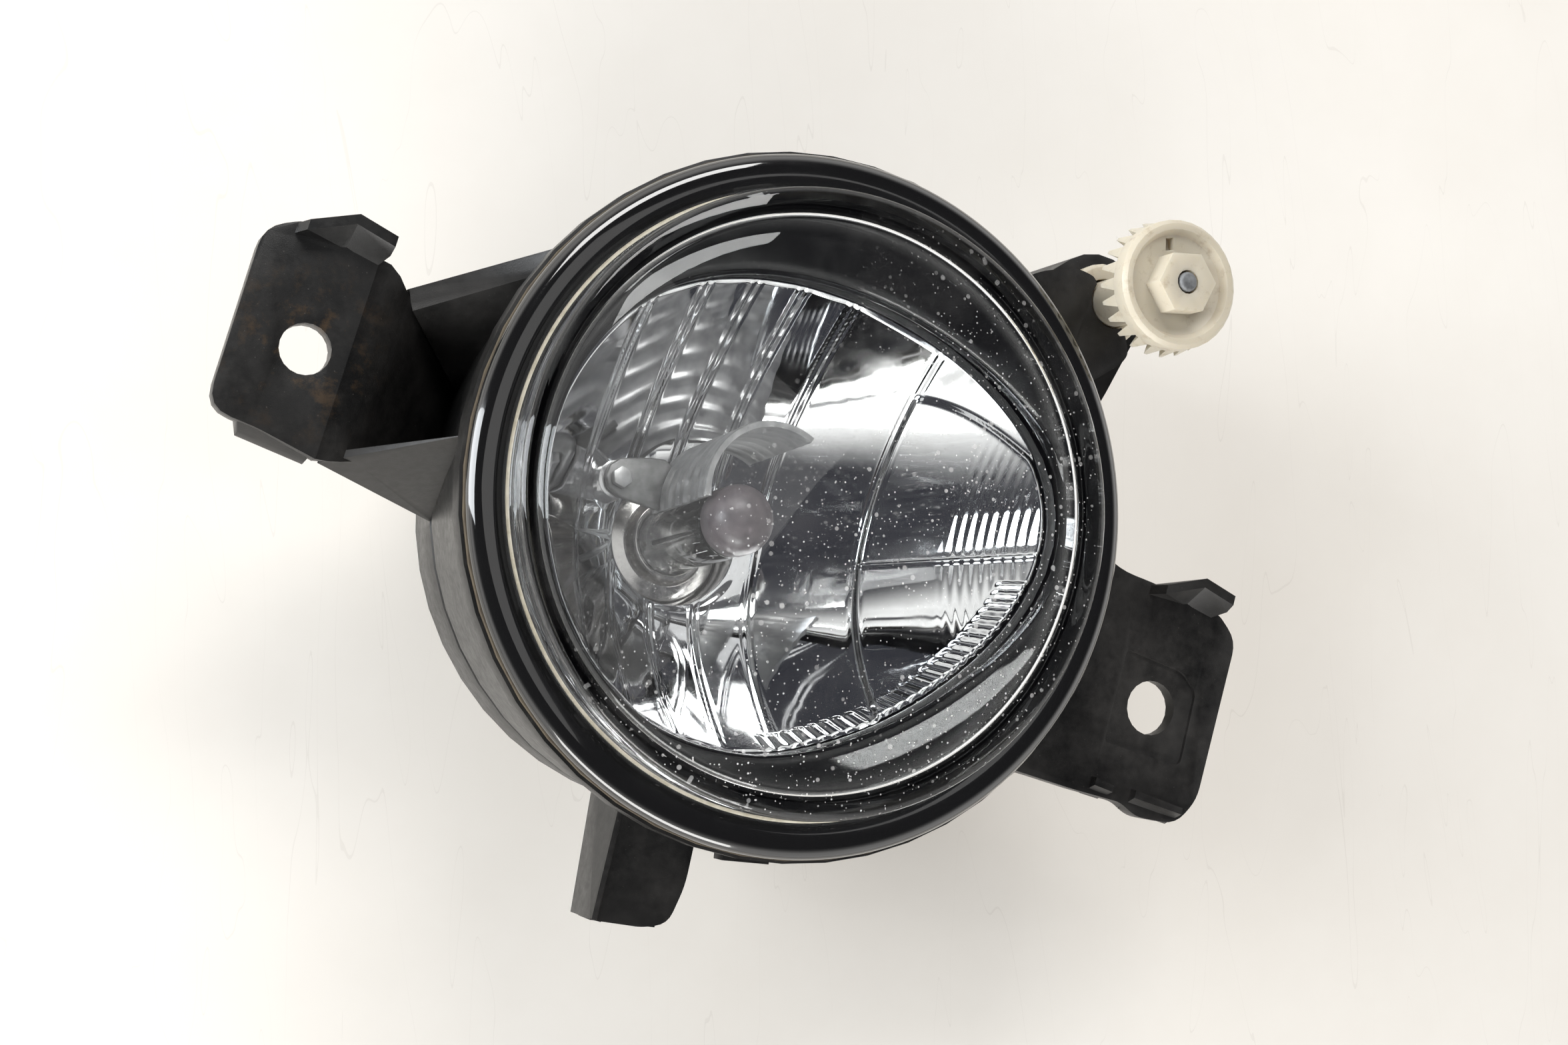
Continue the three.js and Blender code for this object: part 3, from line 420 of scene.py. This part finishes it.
def lens(body_glass, black_edge, cream):
    """Clear dome and its black-printed flange, in one moulding."""
    z = LENS_Z
    outer = dome_profile()
    foot, crown = DOME_R + 0.5, LENS_R - 2.6
    flange = [
        (crown - (crown - foot) * math.cos(a), z - 0.7 + 0.7 * math.sin(a))
        for a in np.linspace(0, math.pi / 2, 8)
    ]
    flange += [
        (crown + (LENS_R - crown) * math.sin(a), z - 1.7 + 1.7 * math.cos(a))
        for a in np.linspace(0.15, math.pi / 2, 14)
    ]
    flange += [(LENS_R - 0.25, z - 2), (foot, z - 2)]
    inner = [(DOME_R - GLASS, z - 2), (DOME_R - GLASS, z + 0.6)]
    under = [(float(r), float(z + 4.5 - 3.2 * (r / 41.3) ** 2.6)) for r in np.linspace(39.5, 0, 14)]
    profile = outer + flange + inner + under
    corners, faces = turned(profile, 192)
    line_in, line_out = (DOME_R + 0.05) * MM, (foot - 0.02) * MM
    uses = []
    for face in faces:
        spots = [Vector(corners[k]) * MM for k in face]
        middle = sum(spots, Vector()) / len(spots)
        away = math.hypot(middle.x, middle.y)
        flat = middle.z < (LENS_Z + 0.3) * MM
        uses.append(1 if away > line_out and flat else 2 if away > line_in and flat else 0)
    piece = mesh_piece("lens_glass", corners, faces, [body_glass, black_edge, cream], uses)
    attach(piece, "housing")
    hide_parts("lens")


def strip_relief(s, along):
    """Height of the crowned strips, with double lines between them that fade downwards."""
    height = np.zeros_like(s)
    for left, right in zip(FLUTES, FLUTES[1:]):
        width = right - left
        u = np.clip((s - left) / width, 0, 1)
        inside = (s >= left) & (s < right)
        height = np.where(inside, 0.03 * width * (1 - (2 * u - 1) ** 2), height)
    fade = 0.25 + 0.75 / (1 + np.exp(-(along - 4) / 3))
    for edge in FLUTES[1:]:
        height += 0.24 * fade * np.exp(-(((np.abs(s - edge) - 0.55) / 0.28) ** 2))
    return height


def bowl_relief(x, y, t, angle):
    """How far (mm) the mirrored face stands proud of the plain bowl."""
    s = x * math.cos(FLUTE_TURN) - y * math.sin(FLUTE_TURN)
    height = strip_relief(s, x * math.sin(FLUTE_TURN) + y * math.cos(FLUTE_TURN))
    right = 1 / (1 + np.exp(-(s - FLUTES[-1]) / 0.12))
    arch = 17.5 - 0.028 * (x - 22) ** 2
    under_arch = 1 / (1 + np.exp(-(arch - y) / 0.15))
    height += 0.75 * right * under_arch
    fine = right * under_arch * np.clip((s - 31) / 2, 0, 1)
    height += 0.035 * fine * (0.5 + 0.5 * np.cos(2 * math.pi * s / 1.25))
    height += 0.25 * right * under_arch * np.exp(-((y + 8.8) / 0.3) ** 2)
    left = 1 / (1 + np.exp((s - FLUTES[2]) / 0.3)) / (1 + np.exp((y - 6) / 0.8))
    facet = (np.degrees(angle) % 18) / 18
    height += left * 0.25 * np.clip(t * 2, 0, 1) * (1 - (2 * facet - 1) ** 2)
    around = np.degrees(angle) % 360
    serrated = np.clip((t - 0.90) / 0.02, 0, 1) * ((around > 262) & (around < 338))
    height += 0.25 * serrated * np.abs(np.sin(np.radians(around) * 58))
    soft_foot = np.clip(t / 0.05, 0, 1)
    soft_edge = np.clip((1 - t) / 0.015, 0, 1)
    return height * soft_foot * soft_edge


def reflector_face(coating):
    """The mirrored, fluted face that lies in the moulded bowl."""
    rings, around = ((190, 640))
    t, angle = np.meshgrid(
        np.linspace(0, 1, rings), np.linspace(0, 2 * math.pi, around, endpoint=False), indexing="ij"
    )
    a = HOLE_R + (RIM["a"] - HOLE_R) * t
    b = HOLE_R + (RIM["b"] - HOLE_R) * t
    along = a * np.cos(angle)
    across = b * np.sin(angle) * (1 - RIM_NARROWING * t * np.cos(angle))
    x = BULB[0] + (RIM["x"] - BULB[0]) * t + along * math.cos(RIM_TURN) - across * math.sin(RIM_TURN)
    y = BULB[1] + (RIM["y"] - BULB[1]) * t + along * math.sin(RIM_TURN) + across * math.cos(RIM_TURN)
    z = HOLE_Z + (RIM["z"] - HOLE_Z) * t ** BOWL_CURVE
    place = np.stack([x, y, z], -1)
    over_t = np.gradient(place, axis=0)
    over_angle = (np.roll(place, -1, 1) - np.roll(place, 1, 1)) / 2
    normal = np.cross(over_t, over_angle)
    normal /= np.linalg.norm(normal, axis=-1, keepdims=True)
    normal *= np.sign(normal[..., 2:3])
    clearance, backing = 0.4, 0.3
    lift = clearance + bowl_relief(x, y, t, angle)
    front = place + normal * lift[..., None]
    back = place - normal * backing
    back[-1] = place[-1] - np.array([0, 0, 0.25])
    rows = [list(map(tuple, row)) for row in front]
    rows += [list(map(tuple, row)) for row in back[::-6]]
    corners, faces = closed_rows(rows)
    piece = mesh_piece("reflector_face", corners, faces, [coating])
    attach(piece, "reflector")


def bezel(gloss):
    """Gloss black trim from the lens's foot down to the reflector's egg-shaped edge."""
    steps = np.linspace(0, 2 * math.pi, 256, endpoint=False)
    top, foot, under = LENS_Z - 2.6, LENS_Z - 7.4, LENS_Z - 9
    inner_a, inner_b = RIM["a"], RIM["b"] - 0.4

    def blend_row(share, drop, inset=0.0):
        row = []
        for angle in steps:
            ex, ey = egg(angle, inner_a + inset, inner_b + inset, RIM["x"] + 0.2, RIM["y"], RIM_NARROWING)
            out = (BEZEL_R * math.cos(angle), BEZEL_R * math.sin(angle))
            row.append((out[0] + (ex - out[0]) * share, out[1] + (ey - out[1]) * share, drop))
        return row

    rows = [blend_row(0, top), blend_row(0.04, top - 0.1)]
    for share in np.linspace(0.12, 0.94, 10):
        rows.append(blend_row(share, top + (foot + 0.4 - top) * share ** 1.5))
    rows += [blend_row(0.985, foot + 0.15), blend_row(1.0, foot - 0.3), blend_row(1.0, under + 0.3)]
    rows += [blend_row(0.98, under), blend_row(0.5, under + 1.6), blend_row(0, top - 1.9)]
    corners, faces = closed_rows(rows)
    piece = mesh_piece("bezel_trim", corners, faces, [gloss])
    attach(piece, "housing")
    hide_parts("inner_bezel")


def placed_on_bulb(piece, node):
    """Puts a piece made in the bulb's own frame in its place, for the CAD node it stands for."""
    piece.data.transform(BULB_PLACE)
    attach(piece, "reflector")
    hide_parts(node)


def shield_hood(metal):
    """Ribbed glare shield over the bulb, with a thick lip."""
    centre, radius = (5.5, 3.1), 10.65
    start, end = math.radians(50), math.radians(178)
    back, front = 5.0, 26.0
    arc = np.linspace(start, end, 72)
    levels = np.linspace(back, front, 120)

    def sheet(offset, lip):
        grid = []
        for z in levels:
            share = (z - back) / (front - back)
            rib = 0.36 * (0.5 - 0.5 * math.cos(2 * math.pi * share * 7.5)) ** 2 if share < 0.93 else 0.1
            edge = lip * max(0, 1 - ((share - 0.975) / 0.03) ** 2)
            r = radius + offset + (rib + edge) * (1 if offset > 0 else -0.2)
            flare = 0.5 * max(0, share - 0.9) / 0.1
            reach = r + flare * 0.2
            grid.append([
                (centre[0] + reach * math.cos(a), centre[1] + reach * math.sin(a), z)
                for a in arc
            ])
        return grid

    outer, inner = sheet(0.22, 0.28), sheet(-0.4, 0.25)
    rows = [o + i[::-1] for o, i in zip(outer, inner)]
    corners, faces = closed_rows(rows, loop_rows=False)
    width = len(rows[0])
    half = width // 2
    for base in (0, (len(rows) - 1) * width):
        for j in range(half - 1):
            faces.append((base + j, base + j + 1, base + width - 2 - j, base + width - 1 - j))
    hood = mesh_piece("bulb_shield_hood", corners, faces, [metal])
    smooth_by_angle(hood)
    placed_on_bulb(hood, "bulb_shield")


def shield_foot(metal):
    """Flat foot that the shield is riveted by, made in the bulb's own frame."""
    level, thickness = 7.0, 1.0
    outline = [
        (-5, 3.6), (-4.5, 6.8), (-2.4, 10.4), (-3.6, 11.6), (-6, 11.9), (-9, 12), (-11.2, 11.9),
        (-13, 11), (-13.9, 9.2), (-13.6, 7.4), (-12, 6), (-10, 5.2),
    ]
    work = bmesh.new()
    ring = [work.verts.new((x * MM, y * MM, level * MM)) for x, y in outline]
    face = work.faces.new(ring)
    raised = bmesh.ops.extrude_face_region(work, geom=[face])
    for vert in (v for v in raised["geom"] if isinstance(v, bmesh.types.BMVert)):
        vert.co.z += thickness * MM
    bmesh.ops.recalc_face_normals(work, faces=work.faces)
    mesh = bpy.data.meshes.new("bulb_shield_foot")
    work.to_mesh(mesh)
    work.free()
    mesh.materials.append(metal)
    foot = bpy.data.objects.new("bulb_shield_foot", mesh)
    bpy.context.scene.collection.objects.link(foot)
    soften = foot.modifiers.new("edges", "BEVEL")
    soften.width, soften.segments = 0.35 * MM, 3
    smooth_by_angle(foot)
    foot.data.transform(BULB_PLACE)
    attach(foot, "reflector")


def bulb(glass, tip_paint, base_plastic):
    """Quartz bulb with its blacked-out nose, and the holder that it stands in."""
    local = LENS_Z - HOLE_Z
    tube = turned(rounded([
        (4.35, -2, 1), (5.15, -2, 1), (5.2, local - 14.3, 1), (4.3, local - 14.3, 1),
    ], 0.3), 96)
    placed_on_bulb(mesh_piece("bulb_tube", *tube, [glass]), "bulb_glass")
    nose = [(0, local - 14.0), (5.0, local - 14.0), (5.2, local - 13.7), (5.2, local - 11.4)]
    nose += [
        (5.2 * math.cos(a), local - 11.4 + 4.1 * math.sin(a))
        for a in np.linspace(0.1, math.pi / 2 - 0.06, 14)
    ]
    nose.append((0, local - 7.3))
    placed_on_bulb(mesh_piece("bulb_nose", *turned(nose, 96), [tip_paint]), "bulb_tip")
    holder = rounded([
        (0, -16), (8.4, -16, 1), (8.4, -8, 1), (12, -8, 1), (12, -6.2, 1), (9.4, -6.2, 1),
        (9.4, -3.6, 1), (6.9, -3.2, 1), (6.3, -0.6, 1), (5.5, -0.6, 1), (5.5, -2.3, 1), (0, -2.3),
    ], 0.35)
    placed_on_bulb(mesh_piece("bulb_holder", *turned(holder, 96), [base_plastic]), "bulb_base")


# ---- build ----

def cad_looks():
    """Material and edge rounding (mm) of each CAD node that stays."""
    housing = housing_plastic()
    rubber = plain("soft_rubber", grey(0.016), grey(0.045), (0.6, 0.85), 0.5, bump=0.2)
    steel = plain("turned_steel", grey(0.42), grey(0.60), (0.28, 0.5), 0.5, metallic=1.0)
    base = plain("holder_plastic", grey(0.035), grey(0.06), (0.4, 0.6), 0.4)
    ivory_plastic = ivory()
    sealant = plain("sealant", (0.06, 0.045, 0.03, 1), (0.10, 0.08, 0.05, 1), (0.5, 0.8))
    coated_back = mirror_back()
    dull_steel = plain("dull_steel", grey(0.16, -0.03), grey(0.30, -0.03), (0.5, 0.7), 0.9, metallic=0.6)
    film = plain("membrane_film", grey(0.6), grey(0.75), (0.7, 0.9), 2.0)
    plating = plain(
        "contact_plating", (0.62, 0.52, 0.30, 1), (0.75, 0.66, 0.42, 1), (0.25, 0.4), 1.0, metallic=1.0
    )
    return {
        "housing": (housing, 0.35), "rear_cap": (housing, 0.4), "vent_cap": (rubber, 0.3),
        "lens_seal": (sealant, 0.1), "reflector": (coated_back, 0.2), "shield_rivet": (steel, 0.15),
        "pivot_pin_left": (steel, 0.2), "pivot_pin_right": (steel, 0.2),
        "adjuster_wheel": (ivory_plastic, 0.16), "adjuster_bush": (ivory_plastic, 0.15),
        "adjuster_nut": (ivory_plastic, 0.15), "adjuster_spindle": (dull_steel, 0.12),
        "adjuster_clip": (steel, 0.1), "adjuster_o_ring": (rubber, 0.0),
        "bulb_filament": (steel, 0.0), "bulb_seal": (rubber, 0.0), "bulb_plug": (base, 0.25),
        "rear_cap_seal": (rubber, 0.2), "inlet_shell": (base, 0.25), "inlet_seal": (rubber, 0.1),
        "vent_membrane": (film, 0.0), "inlet_blade_1": (plating, 0.1), "inlet_blade_2": (plating, 0.1),
        "bulb_lead_1": (rubber, 0.0), "bulb_lead_2": (rubber, 0.0),
    }


def finish_cad_nodes():
    """Rounded edges and finished materials on the CAD nodes that stay."""
    for node, (look, width) in cad_looks().items():
        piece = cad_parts[node]
        if width > 0:
            bevelled(piece, width)
        else:
            smooth_by_angle(piece)
        piece.data.materials.clear()
        piece.data.materials.append(look)


def area_light(name, spot, aim, size, power, colour):
    """Rectangular soft lamp that points at the aim; all in metres and watts."""
    lamp = bpy.data.lights.new(name, "AREA")
    lamp.shape = "RECTANGLE"
    lamp.size, lamp.size_y = size
    lamp.energy = power
    lamp.color = colour
    holder = bpy.data.objects.new(name, lamp)
    holder.location = spot
    holder.rotation_euler = (Vector(aim) - Vector(spot)).to_track_quat("-Z", "Y").to_euler()
    bpy.context.scene.collection.objects.link(holder)


def studio():
    """Pale floor, soft lights, and a plain bright room."""
    half, drop = 6.0, -1e-4
    spots = [(x * half, y * half, drop) for x, y in ((-1, -1), (1, -1), (1, 1), (-1, 1))]
    mesh = bpy.data.meshes.new("floor")
    mesh.from_pydata(spots, [], [(0, 1, 2, 3)])
    mesh.materials.append(floor_paint())
    floor = bpy.data.objects.new("floor", mesh)
    bpy.context.scene.collection.objects.link(floor)
    aim = (0, 0, 0.04)
    area_light("softbox_left", (-0.95, 0.25, 0.42), aim, (0.4, 0.9), 11, (0.93, 0.965, 1.0))
    area_light("softbox_upper", (0.03, 0.73, 0.83), aim, (0.6, 0.26), 5, (1.0, 0.99, 0.975))
    area_light("softbox_lower", (-0.3, -0.95, 0.45), aim, (0.8, 0.3), 6.5, (1.0, 0.985, 0.96))
    area_light("softbox_over", (0.1, 0.1, 1.0), aim, (0.45, 0.45), 0.5, (1.0, 0.99, 0.975))
    bpy.context.scene.world = room()


def room():
    """A bright room with a soft dark patch overhead, which the bright parts mirror."""
    made = bpy.data.worlds.new("room")
    made.use_nodes = True
    tree = made.node_tree
    back = tree.nodes["Background"]
    way = tree.nodes.new("ShaderNodeTexCoord")
    squeezed = tree.nodes.new("ShaderNodeVectorMath")
    squeezed.operation = "MULTIPLY"
    squeezed.inputs[1].default_value = (0.45, 0.7, 1.0)
    unit = tree.nodes.new("ShaderNodeVectorMath")
    unit.operation = "NORMALIZE"
    towards = tree.nodes.new("ShaderNodeVectorMath")
    towards.operation = "DOT_PRODUCT"
    towards.inputs[1].default_value = Vector((0, 0.1, 1)).normalized()
    shade = tree.nodes.new("ShaderNodeValToRGB")
    shade.color_ramp.interpolation = "EASE"
    shade.color_ramp.elements[0].position = 0.52
    shade.color_ramp.elements[0].color = (1.0, 0.985, 0.965, 1)
    shade.color_ramp.elements[1].position = 0.86
    shade.color_ramp.elements[1].color = (0.03, 0.03, 0.036, 1)
    tree.links.new(way.outputs["Generated"], squeezed.inputs[0])
    tree.links.new(squeezed.outputs["Vector"], unit.inputs[0])
    tree.links.new(unit.outputs["Vector"], towards.inputs[0])
    tree.links.new(towards.outputs["Value"], shade.inputs["Fac"])
    tree.links.new(shade.outputs["Color"], back.inputs["Color"])
    back.inputs["Strength"].default_value = 1.32
    return made


def camera():
    """Camera over the lamp's upper left, a third of a metre away."""
    lens_mm, sensor = 50.51, 36.0
    turn = Vector((-0.05764, 0.39309, 0))
    look = Matrix.Rotation(turn.length, 4, turn.normalized())
    look = look @ Matrix.Rotation(math.radians(20 - 17.7), 4, "Z")
    shift = look @ Vector((0, 0, -LENS_Z)) + Vector((4.504, 2.675, -309.741))
    view = Matrix.Translation(shift * MM) @ look
    data = bpy.data.cameras.new("camera")
    data.lens, data.sensor_width = lens_mm, sensor
    data.clip_start = 0.01
    holder = bpy.data.objects.new("camera", data)
    holder.matrix_world = view.inverted()
    bpy.context.scene.collection.objects.link(holder)
    bpy.context.scene.camera = holder


camera()
studio()
finish_cad_nodes()
lens(
    dusty_glass(),
    black_glass(),
    plain("lens_edge_line", (0.42, 0.38, 0.29, 1), (0.60, 0.56, 0.46, 1), (0.2, 0.4)),
)
reflector_face(mirror())
bezel(gloss_black())
shield_hood(plain("shield_sheet", grey(0.36), grey(0.50), (0.3, 0.5), 0.5, metallic=0.9, bump=0.15))
shield_foot(plain("shield_strap", grey(0.16), grey(0.26), (0.35, 0.5), 0.5, metallic=0.8, bump=0.15))
bulb(
    clear_glass("bulb_quartz", (0.96, 0.97, 0.97, 1)),
    plain("bulb_nose_paint", (0.045, 0.038, 0.042, 1), (0.085, 0.07, 0.075, 1), (0.3, 0.5), 0.4),
    plain("bulb_holder_metal", grey(0.62, 0.03), grey(0.78, 0.03), (0.12, 0.3), 0.5, metallic=0.95),
)
bpy.context.scene.view_settings.view_transform = "Standard"
